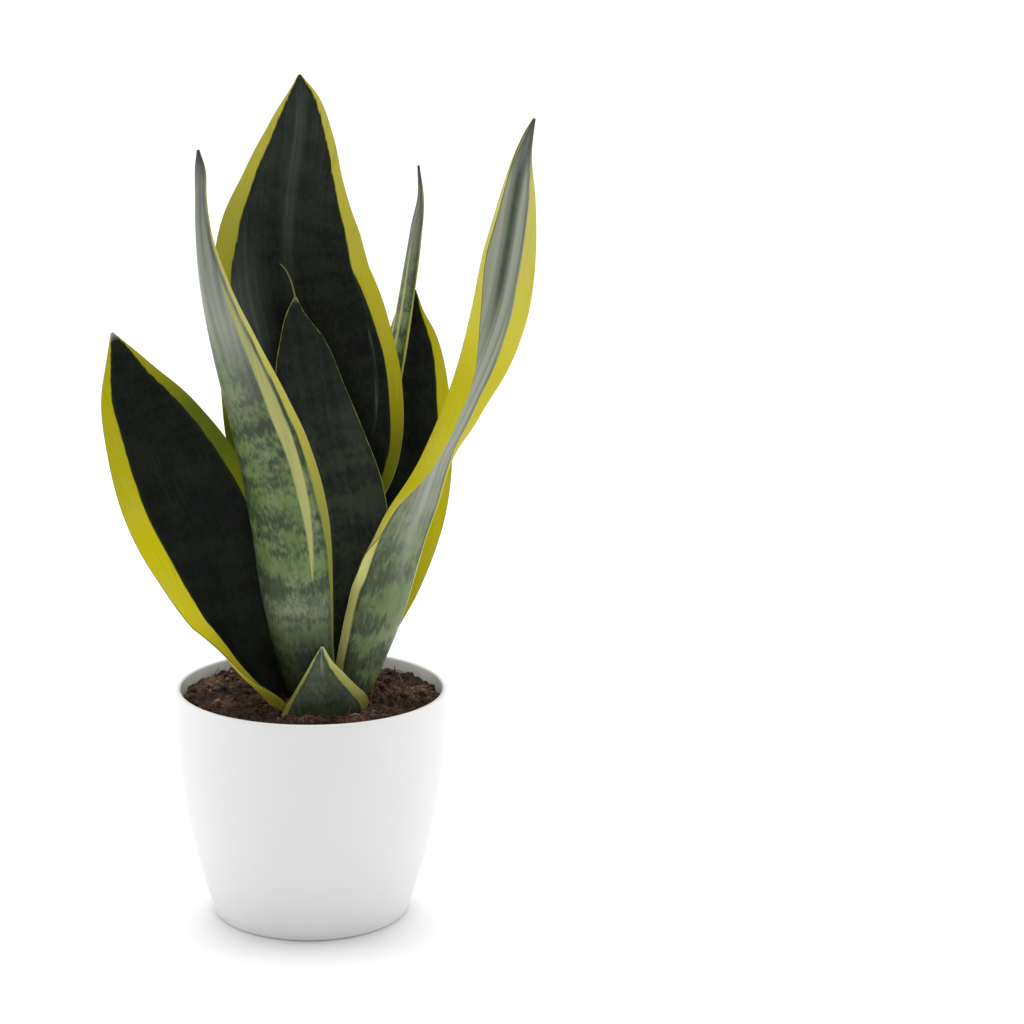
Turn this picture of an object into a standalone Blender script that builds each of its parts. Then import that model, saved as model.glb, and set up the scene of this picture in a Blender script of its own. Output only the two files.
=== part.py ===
# Potted snake plant: eight upright leaves growing from potting mix in a round plastic pot.
# Metres, +Z up. The origin is the centre of the pot's flat underside, and the front faces -Y.
import math

import bmesh
import bpy
import numpy as np

for old in list(bpy.data.objects):
    bpy.data.objects.remove(old, do_unlink=True)

MM = 0.001
GAP = 0.3 * MM                # kept between pieces that touch

# Driving dimensions
POT_RADIUS = 67.5 * MM        # outside, at the rim
POT_HEIGHT = 117 * MM
POT_FOOT_RADIUS = 48.5 * MM   # where the wall's curve would meet the ground
POT_CURVE = 2.25              # how late the wall turns in towards the foot
POT_WALL = 2.2 * MM
POT_FLOOR = 3.0 * MM
FOOT_ROUNDING = 2.5 * MM
WALL_LEVELS = np.linspace(POT_HEIGHT - POT_WALL / 2, FOOT_ROUNDING, 10)
LOWEST_WALL = POT_FLOOR + POT_WALL
POT_SIDES = 40
MIX_LEVEL = 109.5 * MM        # potting mix, at the wall
MIX_CROWN = 2.5 * MM          # how far the mix heaps up round the leaves
CROWN = (10 * MM, -6 * MM)    # where the leaves come up

# Each leaf is a row of stations from the buried end to the tip:
# x, y, z of the middle of the blade (mm), width round the blade (mm),
# turn: the way the upper face looks, in degrees from the front towards +X,
# cup: how far each side bends up towards the upper face, in degrees,
# roll: how far the blade's right side is folded over besides, in degrees (left out where there is none),
# fold: where that fold is centred, as a share of the half width (left out where it is FOLD_PLACE).
LEAVES = {
    "leaf_tall_back": dict(thick=2.4, columns=8, rows=18, stations=[
        (4, 11, 98, 30, 2, 52), (4, 12, 115, 32, 2, 50), (2, 15, 145, 38, 2, 42), (0, 19, 180, 50, 2, 32),
        (-1, 22, 210, 74, 2, 24), (1, 25, 235, 88, 2, 19), (0, 28, 262, 91, 2, 17), (-4, 31, 290, 86, 2, 15),
        (-10, 34, 317, 79, 2, 14), (-11, 36, 342, 69, 2, 13), (-9, 38, 365, 51, 2, 12),
        (-6, 40, 388, 34, 2, 11), (-5, 41, 405, 18, 2, 10), (-6, 42, 417, 1, 2, 8)]),
    "leaf_left": dict(thick=2.3, columns=8, rows=16, stations=[
        (-12, -11, 98, 31, 80, 88), (-19, -11.5, 112, 37, 76, 85), (-33, -12.5, 138, 48, 50, 62),
        (-40, -10, 158, 55, 34, 36), (-51, -8, 192, 67, 25, 20), (-64, -6, 219, 66, 24, 17),
        (-76, -5, 245, 54, 24, 15), (-86, -4, 267, 36, 24, 12), (-91, -3, 281, 19, 24, 10),
        (-96, -2, 295, 1, 24, 8)]),
    "leaf_front_banded": dict(thick=2.3, columns=8, rows=18, stations=[
        (2, -22, 98, 24, 172, 52), (0, -24, 114, 27, 168, 52), (-7, -27, 145, 37, 160, 52),
        (-12, -29, 175, 46, 154, 52), (-16, -31, 205, 51, 150, 52), (-22, -33, 235, 49, 150, 54),
        (-30, -35, 262, 42, 150, 58), (-39, -37, 290, 32, 150, 60), (-47, -39, 320, 20, 150, 62),
        (-51, -41, 348, 9.5, 150, 50), (-51.5, -42, 364, 6.5, 150, 40),
        (-51.5, -43, 378, 5.5, 150, 30), (-52, -43.5, 386, 1, 150, 20)]),
    "leaf_young_centre": dict(thick=2.0, columns=8, rows=15, stations=[
        (11, 2, 98, 17, 8, 58), (11, 2, 115, 20, 8, 54), (13, 3, 145, 34, 8, 40), (14, 4, 175, 46, 8, 28),
        (11, 6, 208, 52, 8, 20), (4, 8, 238, 46, 8, 18), (-1, 9, 263, 36, 8, 16), (-5, 11, 287, 24, 8, 14),
        (-8, 12, 302, 10, 8, 12), (-8, 12, 311, 1, 8, 10)]),
    "leaf_right_back": dict(thick=2.2, columns=8, rows=15, stations=[
        (21, 20, 98, 24, -22, 42), (22, 21, 115, 26, -22, 42), (28, 26, 140, 34, -20, 34),
        (37, 32, 168, 44, -16, 26), (44, 38, 200, 51, -12, 20), (48, 43, 230, 49, -10, 18),
        (50, 47, 258, 41, -8, 16), (51, 49, 282, 28, -6, 14), (50, 50, 298, 15, -6, 12),
        (52, 51, 310, 1, -6, 10)]),
    "leaf_slender": dict(thick=1.6, columns=6, rows=14, stations=[
        (1, 18, 98, 12, 165, 45), (3, 19, 118, 13, 165, 45), (12, 22, 150, 15, 160, 40),
        (21, 26, 190, 17, 150, 35), (29, 30, 225, 18, 140, 30), (36, 34, 255, 17, 130, 30),
        (42, 38, 285, 16, 122, 30), (47, 41, 315, 14, 120, 30), (51, 43, 340, 10, 125, 30),
        (54, 44, 357, 4, 140, 20), (53, 45, 373, 1, 150, 10)]),
    "leaf_right_twisted": dict(thick=2.0, columns=14, rows=22, stations=[
        (19, -5, 98, 27, 218, 55), (23, -7, 114, 29, 215, 52), (30, -11, 140, 34, 208, 48),
        (36, -14, 166, 35.5, 204, 40), (40, -17, 184, 34.5, 205, 32, -54, 0.8),
        (43, -18, 197, 36.5, 212, 22, -108, 0.77), (50, -21, 216, 36, 222, 9, -125, 0.79),
        (57.5, -23.5, 238, 34.5, 232, -8, -133, 0.59), (68, -27, 262, 37.5, 226, -12, -125, 0.55),
        (77, -31, 286, 41, 216, -12, -108, 0.52), (85, -34, 312, 39, 206, -10, -92, 0.6),
        (90, -36, 340, 33, 202, -8, -76, 0.64), (93.5, -38, 365, 24, 202, -6, -71, 0.52),
        (97.5, -39, 386, 10.5, 202, -5, -60, 0.56), (103, -40, 402, 1, 202, 0)]),
    "leaf_short_front": dict(thick=1.8, columns=10, rows=8, stations=[
        (9, -34, 98, 58, 196, 66), (9, -35, 110, 57, 194, 62), (7.5, -35, 119, 44, 190, 56),
        (6, -34, 129, 26, 186, 48), (5, -33, 138, 11, 182, 36), (5, -32, 146, 1, 180, 30)]),
}
FOLD_PLACE = 0.45
FOLD_REACH = 0.2              # how far the fold spreads to each side of its middle, as a share of the half width
LEAST_WIDTH = 1.2             # mm, at a leaf's tip
EDGE_SHARE = 0.3              # a blade's thickness at its edges, as a share of the middle's


def make_collection(name):
    folder = bpy.data.collections.new(name)
    bpy.context.scene.collection.children.link(folder)
    return folder


plant = make_collection("potted_snake_plant")
cutters = make_collection("cutters")


def make_material(name, colour, roughness):
    mat = bpy.data.materials.new(name)
    mat.use_nodes = True
    shader = mat.node_tree.nodes["Principled BSDF"]
    shader.inputs["Base Color"].default_value = (*colour, 1.0)
    shader.inputs["Roughness"].default_value = roughness
    shader.inputs["Metallic"].default_value = 0.0
    return mat


white_plastic = make_material("white_plastic", (0.84, 0.85, 0.86), 0.42)
peat_and_coir = make_material("peat_and_coir", (0.045, 0.024, 0.016), 0.95)
leaf_skin = make_material("leaf_skin", (0.05, 0.11, 0.045), 0.45)


def add_object(name, mesh, folder, material=None):
    obj = bpy.data.objects.new(name, mesh)
    folder.objects.link(obj)
    if material:
        mesh.materials.append(material)
    return obj


def arc(centre, radius, start, end, steps):
    """Points (r, z) on an arc, angles in degrees from +r towards +z."""
    angles = np.radians(np.linspace(start, end, steps + 1))
    return [(centre[0] + radius * math.cos(a), centre[1] + radius * math.sin(a)) for a in angles]


def turned(name, profile, folder, material, smooth=True):
    """A solid of revolution from points (r, z) that start and end on the axis."""
    mesh = bpy.data.meshes.new(name)
    points = [(r, 0.0, z) for r, z in profile]
    mesh.from_pydata(points, [(i, i + 1) for i in range(len(points) - 1)], [])
    obj = add_object(name, mesh, folder, material)
    screw = obj.modifiers.new("turn", "SCREW")
    screw.steps = POT_SIDES
    screw.render_steps = POT_SIDES
    screw.use_merge_vertices = True
    screw.merge_threshold = 0.00001
    screw.use_smooth_shade = smooth
    return obj


def wall_radius(z):
    """Outside radius of the pot at height z: near upright at the rim, turning in towards the foot."""
    drop = 1.0 - z / POT_HEIGHT
    return POT_RADIUS - (POT_RADIUS - POT_FOOT_RADIUS) * drop ** POT_CURVE


def inside_wall(gap=0.0):
    """Points (r, z) up the inside of the pot from its floor, drawn in by gap."""
    foot = (wall_radius(FOOT_ROUNDING) - FOOT_ROUNDING - POT_WALL - gap, POT_FLOOR + gap)
    return [foot] + [(wall_radius(z) - POT_WALL - gap, z) for z in WALL_LEVELS[::-1] if z > LOWEST_WALL]


def make_pot():
    lip = POT_WALL / 2
    outside = [(wall_radius(z), z) for z in WALL_LEVELS]
    lip_round = arc((POT_RADIUS - lip, POT_HEIGHT - lip), lip, 180, 0, 4)[1:-1]
    foot_edge = wall_radius(FOOT_ROUNDING) - FOOT_ROUNDING
    foot_round = arc((foot_edge, FOOT_ROUNDING), FOOT_ROUNDING, 0, -90, 3)[1:]
    profile = [(0.0, POT_FLOOR)] + inside_wall() + lip_round + outside + foot_round + [(0.0, 0.0)]
    return turned("pot", profile, plant, white_plastic)


def fair(rows, places):
    """Values of the hand-set rows at places 0..1 along the leaf, on a smooth curve through them."""
    rows = np.array([tuple(row) + (0, FOLD_PLACE)[len(row) - 6:] for row in rows], float)
    run = np.concatenate([[0.0], np.cumsum(np.linalg.norm(np.diff(rows[:, :3], axis=0), axis=1))])
    knots = run / run[-1]
    slope = np.gradient(rows, knots, axis=0)
    i = np.clip(np.searchsorted(knots, places, side="right") - 1, 0, len(knots) - 2)
    gap = (knots[i + 1] - knots[i])[:, None]
    s = (places - knots[i])[:, None] / gap
    start = (1 + 2 * s) * (1 - s) ** 2 * rows[i] + s * (1 - s) ** 2 * gap * slope[i]
    end = s * s * (3 - 2 * s) * rows[i + 1] + s * s * (s - 1) * gap * slope[i + 1]
    return start + end


def cross_section(width, cup, roll, fold_place, across):
    """Sideways and upward offsets of a blade bent by cup and roll, keeping its width round the bend."""
    fine = np.linspace(-1, 1, 81)
    fold = np.clip((fine - fold_place + FOLD_REACH) / (2 * FOLD_REACH), 0, 1)
    angle = np.radians(cup) * fine + np.radians(roll) * fold * fold * (3 - 2 * fold)

    def run(values):
        steps = (values[1:] + values[:-1]) / 2 * np.diff(fine) * width / 2
        total = np.concatenate([[0.0], np.cumsum(steps)])
        return np.interp(across, fine, total - total[len(fine) // 2])

    return run(np.cos(angle)), run(np.sin(angle))


def blade_points(leaf, swell):
    """Grid of points on the blade's middle surface, rows from the buried end to the tip."""
    places = np.linspace(0, 1, leaf["rows"] + 1)
    values = fair(leaf["stations"], places)
    spine = values[:, :3]
    along = np.gradient(spine, places, axis=0)
    along /= np.linalg.norm(along, axis=1)[:, None]
    spine[0] -= along[0] * swell / MM
    across = np.linspace(-1, 1, leaf["columns"] + 1)
    grid = []
    for point, way, (width, turn, cup, roll, fold_place) in zip(spine, along, values[:, 3:]):
        facing = np.array([math.sin(math.radians(turn)), -math.cos(math.radians(turn)), 0.0])
        up = facing - way * facing.dot(way)
        up /= np.linalg.norm(up)
        side = np.cross(way, up)
        round_width = max(width, LEAST_WIDTH) + 2 * swell / MM
        s, h = cross_section(round_width, cup, roll, fold_place, across)
        grid.append(point + np.outer(s, side) + np.outer(h, up))
    return np.array(grid) * MM


def make_blade(name, leaf, folder, material=None, swell=0.0):
    """A leaf: a grid laid on the blade's middle surface, given its thickness by Solidify."""
    columns = leaf["columns"]
    rows = leaf["rows"]
    points = blade_points(leaf, swell)
    bm = bmesh.new()
    bmesh.ops.create_grid(bm, x_segments=columns, y_segments=rows, size=1.0)
    mesh = bpy.data.meshes.new(name)
    weights = []
    for vert in bm.verts:
        column = round((vert.co.x + 1) / 2 * columns)
        row = round((vert.co.y + 1) / 2 * rows)
        vert.co = points[row, column]
        across = abs(2 * column / columns - 1)
        tip = row / rows
        weights.append((1 - across ** 3) * (1 - 0.6 * tip ** 2))
    bm.to_mesh(mesh)
    bm.free()
    obj = add_object(name, mesh, folder, material)
    group = obj.vertex_groups.new(name="thickness")
    for index, weight in enumerate(weights):
        group.add([index], weight, "REPLACE")
    solid = obj.modifiers.new("thickness", "SOLIDIFY")
    solid.thickness = leaf["thick"] * MM + 2 * swell
    solid.offset = 0.0
    solid.vertex_group = "thickness"
    solid.thickness_vertex_group = (EDGE_SHARE * leaf["thick"] * MM + 2 * swell) / solid.thickness
    return obj


def mix_height(x, y):
    """Top of the potting mix: level at the wall, heaped at the leaves, with small lumps."""
    away = math.hypot(x - CROWN[0], y - CROWN[1]) / (40 * MM)
    heap = MIX_CROWN * math.exp(-away * away)
    lumps = 0.5 * MM * math.sin(x / (7 * MM) + 1.3) * math.cos(y / (6 * MM) - 0.4)
    return MIX_LEVEL + heap + lumps


def make_mix():
    """Potting mix: fills the pot, and has a socket for the buried end of each leaf."""
    edge = wall_radius(MIX_LEVEL) - POT_WALL - GAP
    top = [(float(share) * edge, MIX_LEVEL) for share in np.linspace(0.0, 0.86, 7)]
    side = [point for point in inside_wall(GAP) if point[1] < MIX_LEVEL][::-1]
    profile = top + [(edge, MIX_LEVEL)] + side + [(0.0, POT_FLOOR + GAP)]
    blank = turned("potting_mix_blank", profile, cutters, peat_and_coir)
    bpy.context.view_layer.update()
    graph = bpy.context.evaluated_depsgraph_get()
    mesh = bpy.data.meshes.new_from_object(blank.evaluated_get(graph))
    bpy.data.objects.remove(blank, do_unlink=True)
    mesh.name = "potting_mix"
    for vert in mesh.vertices:
        if vert.co.z > MIX_LEVEL - 0.01 * MM:
            vert.co.z = mix_height(vert.co.x, vert.co.y)
    mix = add_object("potting_mix", mesh, plant)
    sockets = mix.modifiers.new("sockets", "BOOLEAN")
    sockets.operation = "DIFFERENCE"
    sockets.operand_type = "COLLECTION"
    sockets.collection = cutters
    sockets.solver = "EXACT"
    sockets.use_self = True
    return mix


make_pot()
for leaf_name, leaf in LEAVES.items():
    make_blade(leaf_name, leaf, plant, leaf_skin)
    socket = make_blade(leaf_name + "_socket", leaf, cutters, swell=GAP)
    socket.hide_render = True
    socket.display_type = "WIRE"
make_mix()

for obj in plant.objects:
    for polygon in obj.data.polygons:
        polygon.use_smooth = True
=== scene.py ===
import math
import random

import bpy
import numpy as np
from mathutils import Matrix, Vector, noise


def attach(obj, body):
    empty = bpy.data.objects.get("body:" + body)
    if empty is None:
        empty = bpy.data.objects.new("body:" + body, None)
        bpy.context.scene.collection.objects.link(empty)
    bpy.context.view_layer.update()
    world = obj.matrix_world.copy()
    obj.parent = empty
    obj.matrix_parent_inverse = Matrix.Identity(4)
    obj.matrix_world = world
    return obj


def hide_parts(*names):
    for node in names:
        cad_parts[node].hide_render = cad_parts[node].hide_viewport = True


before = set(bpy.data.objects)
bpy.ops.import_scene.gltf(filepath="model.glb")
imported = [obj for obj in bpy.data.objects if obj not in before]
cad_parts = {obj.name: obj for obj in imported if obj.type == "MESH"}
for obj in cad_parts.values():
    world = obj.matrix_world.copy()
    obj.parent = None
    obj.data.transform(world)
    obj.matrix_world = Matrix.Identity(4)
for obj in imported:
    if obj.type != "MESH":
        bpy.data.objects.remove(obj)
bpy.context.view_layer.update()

mm = 0.001
body = "root"


def clearSelection():
    if bpy.context.mode != "OBJECT":
        bpy.ops.object.mode_set(mode="OBJECT")
    bpy.ops.object.select_all(action="DESELECT")


# sRGB hex to the linear colour a shader wants.
def linear(hexColour):
    parts = [int(hexColour[i:i + 2], 16) / 255 for i in (1, 3, 5)]
    curved = [c / 12.92 if c <= 0.04045 else ((c + 0.055) / 1.055) ** 2.4 for c in parts]
    return (*curved, 1.0)


# Adds a node with its settings. An input takes a value, a socket, or a node for its first output.
# Socket numbers of Mix: 0 share, 6 and 7 colours. Of MapRange: 0 value, 1 and 2 from, 3 and 4 to.
def addNode(tree, kind, inputs=None, **settings):
    node = tree.nodes.new("ShaderNode" + kind)
    for key, value in settings.items():
        setattr(node, key, value)
    for key, value in (inputs or {}).items():
        if isinstance(value, bpy.types.Node):
            value = value.outputs[0]
        if isinstance(value, bpy.types.NodeSocket):
            tree.links.new(value, node.inputs[key])
        else:
            node.inputs[key].default_value = value
    return node


# A material with constant values straight on the shader; Base_Color stands for "Base Color".
def newMaterial(name, **sockets):
    mat = bpy.data.materials.new(name)
    mat.use_nodes = True
    shader = mat.node_tree.nodes["Principled BSDF"]
    for key, value in sockets.items():
        shader.inputs[key.replace("_", " ")].default_value = value
    return mat, mat.node_tree, shader


# Puts a finished piece on the body, in place of its CAD node where it has one.
def finishPiece(piece, node):
    piece.data.name = piece.name
    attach(piece, body)
    if node:
        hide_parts(node)


uvUnit = 100             # mm that one unit of a blade's UV maps spans
stripeSpan = 20          # mm of distance that the painted stripe channel holds

leafSkins = {                # level: how strong the highlights are
    # inner face of a living leaf: dark green under wax, faintly mottled, deepened to near-black by
    # painted shade
    "leafUpperSkin": dict(
        colours=dict(dark="#0d100e", light="#262d20", patch="#2c3024", pale="#565d56",
                     stripe="#4f5a4a"),
        roughness=0.42, level=0.09),
    # outer face: grey-green with feathered dark cross bands, a little chalky
    "leafLowerSkin": dict(
        colours=dict(dark="#2f3b2d", light="#657c42", patch="#7f8b62", pale="#94998c",
                     stripe="#b0b26c"),
        roughness=0.46, level=0.2),
}
marginTones = dict(yellow="#c8bd10", cream="#bfc178", green="#58640e", line="#1c2a0c")
tipTones = dict(darkTip="#3a3d3a", paleTip="#a9a99c")
# leaf patterns: the mm that one unit spans across and along the blade, and the detail
leafPatterns = dict(
    feather=(1.6, 16, 3.0),         # fibres that draw out the edges of the cross bands
    blot=(2.2, 3.4, 5.0),           # small blots that break the bands up
    streak=(1.1, 45, 2.0),          # single fibres that fray borders and fleck the green
    cloud=(14, 26, 3.0),            # slow change of tone and gloss over a leaf
    channels=(3.6, 260, 2.0),       # the bloom lies between bundles of veins
    ribs=(2.2, 160, 3.0),           # long low ribs, in relief only
    grain=(0.5, 0.9, 1.0))          # cells of the skin
bandScale = (uvUnit / 30, uvUnit / 10.5, 1)     # cross bands about 10 mm apart
# MapRange sockets: the noise level where a tone starts (1) and is full (2), and its share then (4)
toneRanges = dict(
    band={1: 0.6, 2: 0.82}, cloud={1: 0.35, 2: 0.65}, fleck={1: 0.45, 2: 0.75, 4: 0.35},
    channel={1: 0.35, 2: 0.65, 4: 0.9}, cream={1: 0.4, 2: 0.75, 4: 0.14},
    greenStreak={1: 0.55, 2: 0.8, 4: 0.3})
# the same sockets in mm: past the edge of a margin or stripe, or away from the border line
edgeRanges = dict(
    margin={1: -0.35, 2: 0.55}, stripe={1: stripeSpan / 2 - 0.5, 2: stripeSpan / 2 + 0.7},
    border={1: 0.0, 2: 1.3, 3: 0.4, 4: 0.0})
skinLook = dict(
    bandDraw=1.1,            # how far fibres draw out a band, as a share of the bands' distance
    blotShare=0.42,          # how strongly the blots break the bands
    fray=0.8,                # mm that fibres fray a margin or stripe to each side
    borderOut=0.8,           # mm from a margin to the dark line that borders it
    stripeShare=0.95,        # how solid a stripe is between its flecks
    bloomLeast=0.3, bloomChange=0.7,                       # how even the silvery bloom is
    grainShare=0.12, relief=0.25, reliefStrength=0.5,      # skin cells against ribs; mm deep
    glossChange=0.08)                                      # roughness, each way over a leaf


def makeLeafSkin(name, look):
    mat, tree, shader = newMaterial(name, Specular_IOR_Level=look["level"])
    hexTones = {**look["colours"], **marginTones, **tipTones}
    tones = {part: linear(value) for part, value in hexTones.items()}
    smooth = dict(interpolation_type="SMOOTHSTEP")
    blend = dict(data_type="RGBA")
    blade = addNode(tree, "UVMap", uv_map="bladeMm")
    paint = addNode(tree, "Attribute", attribute_name="bladePaint")
    bladeTone = addNode(tree, "SeparateColor", {0: paint.outputs["Color"]}).outputs
    marginPaint = addNode(tree, "Attribute", attribute_name="marginPaint")
    marginTone = addNode(tree, "SeparateColor", {0: marginPaint.outputs["Color"]}).outputs
    banding, palenessWithSheen, stripePlace = (bladeTone[k] for k in range(3))
    creamPart, greenPart, tipTone = (marginTone[k] for k in range(3))
    pattern = {}
    for part, (wide, tall, detail) in leafPatterns.items():
        scale = (uvUnit / wide, uvUnit / tall, 1)
        place = addNode(tree, "VectorMath", {0: blade, 1: scale}, operation="MULTIPLY")
        pattern[part] = addNode(tree, "TexNoise", {"Vector": place, "Scale": 1.0, "Detail": detail})
    # cross bands, drawn out along the fibres and broken by small blots
    draw = skinLook["bandDraw"]
    drawn = addNode(tree, "Math", {0: pattern["feather"], 1: draw, 2: -draw / 2},
                    operation="MULTIPLY_ADD")
    shift = addNode(tree, "CombineXYZ", {1: drawn})
    place = addNode(tree, "VectorMath", {0: blade, 1: bandScale, 2: shift},
                    operation="MULTIPLY_ADD")
    bands = addNode(tree, "TexNoise",
                    {"Vector": place, "Scale": 1.0, "Detail": 4.0, "Roughness": 0.62})
    broken = addNode(tree, "Math", {0: pattern["blot"], 1: skinLook["blotShare"], 2: bands},
                     operation="MULTIPLY_ADD")
    softened = {0: broken, 3: marginPaint.outputs["Alpha"], **toneRanges["band"]}
    lightShare = addNode(tree, "MapRange", softened, **smooth)
    bandShare = addNode(tree, "Math", {0: lightShare, 1: banding}, operation="MULTIPLY")
    cloudy = addNode(tree, "MapRange", {0: pattern["cloud"], **toneRanges["cloud"]}, **smooth)
    band = addNode(tree, "Mix", {0: cloudy, 6: tones["light"], 7: tones["patch"]}, **blend)
    fleck = addNode(tree, "MapRange", {0: pattern["streak"], **toneRanges["fleck"]}, **smooth)
    fleckShare = addNode(tree, "Math", {0: fleck, 1: cloudy}, operation="MULTIPLY")
    # the silvery bloom of the wax, with painted sheen where the paleness channel raises it
    channel = addNode(tree, "MapRange", {0: pattern["channels"], **toneRanges["channel"]}, **smooth)
    grooved = addNode(tree, "Math", {0: pattern["streak"], 1: channel}, operation="ADD")
    bloom = addNode(tree, "Math",
                    {0: grooved, 1: skinLook["bloomChange"], 2: skinLook["bloomLeast"]},
                    operation="MULTIPLY_ADD")
    bloomAndSheenShare = addNode(tree, "Math", {0: bloom, 1: palenessWithSheen}, operation="MULTIPLY",
                         use_clamp=True)
    # stripe and margins come as distances, so their borders stay sharp; the fibres fray them
    fray = addNode(tree, "Math",
                   {0: pattern["streak"], 1: 2 * skinLook["fray"], 2: -skinLook["fray"]},
                   operation="MULTIPLY_ADD")
    stripeDepth = addNode(tree, "Math", {0: stripePlace, 1: stripeSpan, 2: fray},
                          operation="MULTIPLY_ADD")
    stripeTone = addNode(tree, "Math", {0: skinLook["stripeShare"], 1: fleck}, operation="SUBTRACT")
    stripe = addNode(tree, "MapRange", {0: stripeDepth, 4: stripeTone, **edgeRanges["stripe"]},
                     **smooth)
    marginPlace = addNode(tree, "UVMap", uv_map="marginMm")
    margins = addNode(tree, "VectorMath", {0: marginPlace, 1: (uvUnit, uvUnit, 1)},
                      operation="MULTIPLY")
    edges = addNode(tree, "SeparateXYZ", {0: margins}).outputs
    nearest = addNode(tree, "Math", {0: edges[0], 1: edges[1]}, operation="MAXIMUM")
    depth = addNode(tree, "Math", {0: nearest, 1: fray}, operation="ADD")
    fromBorder = addNode(tree, "Math", {0: depth, 1: skinLook["borderOut"]}, operation="ADD")
    away = addNode(tree, "Math", {0: fromBorder}, operation="ABSOLUTE")
    border = addNode(tree, "MapRange", {0: away, **edgeRanges["border"]}, **smooth)
    inMargin = addNode(tree, "MapRange", {0: depth, **edgeRanges["margin"]}, **smooth)
    creamShare = addNode(tree, "MapRange", {0: pattern["cloud"], **toneRanges["cream"]}, **smooth)
    greenStreak = addNode(tree, "MapRange", {0: pattern["streak"], **toneRanges["greenStreak"]},
                          **smooth)
    margin = tones["yellow"]
    for share, tone in ((creamShare, "cream"), (creamPart, "cream"), (greenPart, "green"),
                        (greenStreak, "green")):
        margin = addNode(tree, "Mix", {0: share, 6: margin, 7: tones[tone]}, **blend).outputs[2]
    darkTip = addNode(tree, "MapRange", {0: tipTone, 1: 0.5, 2: 0.0})
    paleTip = addNode(tree, "MapRange", {0: tipTone, 1: 0.5, 2: 1.0})
    # each tone is laid over the ones before it
    layers = ((bandShare, band.outputs[2]), (fleckShare, tones["light"]),
              (bloomAndSheenShare, tones["pale"]), (stripe, tones["stripe"]), (border, tones["line"]),
              (inMargin, margin), (darkTip, tones["darkTip"]), (paleTip, tones["paleTip"]))
    colour = tones["dark"]
    for share, tone in layers:
        colour = addNode(tree, "Mix", {0: share, 6: colour, 7: tone}, **blend).outputs[2]
    # painted shade and light: the colour times the leaf's painted shading
    shaded = addNode(tree, "Mix", {0: 1.0, 6: colour, 7: paint.outputs["Alpha"]},
                     blend_type="MULTIPLY", **blend)
    tree.links.new(shaded.outputs[2], shader.inputs["Base Color"])
    relief = addNode(tree, "Math",
                     {0: pattern["grain"], 1: skinLook["grainShare"], 2: pattern["ribs"]},
                     operation="MULTIPLY_ADD")
    bump = addNode(tree, "Bump", {"Height": relief, "Distance": skinLook["relief"] * mm,
                                  "Strength": skinLook["reliefStrength"]})
    tree.links.new(bump.outputs[0], shader.inputs["Normal"])
    low, high = (look["roughness"] + skinLook["glossChange"] * way for way in (-1, 1))
    gloss = addNode(tree, "MapRange", {0: pattern["cloud"], 3: low, 4: high})
    tree.links.new(gloss.outputs[0], shader.inputs["Roughness"])
    return mat


# The thin dry rim of a blade: it gives each leaf a fine olive outline, matt and patchy.
def makeLeafEdge():
    mat, tree, shader = newMaterial("leafEdge", Roughness=0.5, Specular_IOR_Level=0.12)
    place = addNode(tree, "TexCoord").outputs["Object"]
    patch = addNode(tree, "TexNoise", {"Vector": place, "Scale": 90.0, "Detail": 2.0})  # 11 mm
    tones = {6: linear("#565c28"), 7: linear("#8c8d4c")}
    colour = addNode(tree, "Mix", {0: patch, **tones}, data_type="RGBA")
    tree.links.new(colour.outputs[2], shader.inputs["Base Color"])
    return mat


skins = [makeLeafSkin(name, look) for name, look in leafSkins.items()] + [makeLeafEdge()]
print("leaf materials made")
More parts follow.
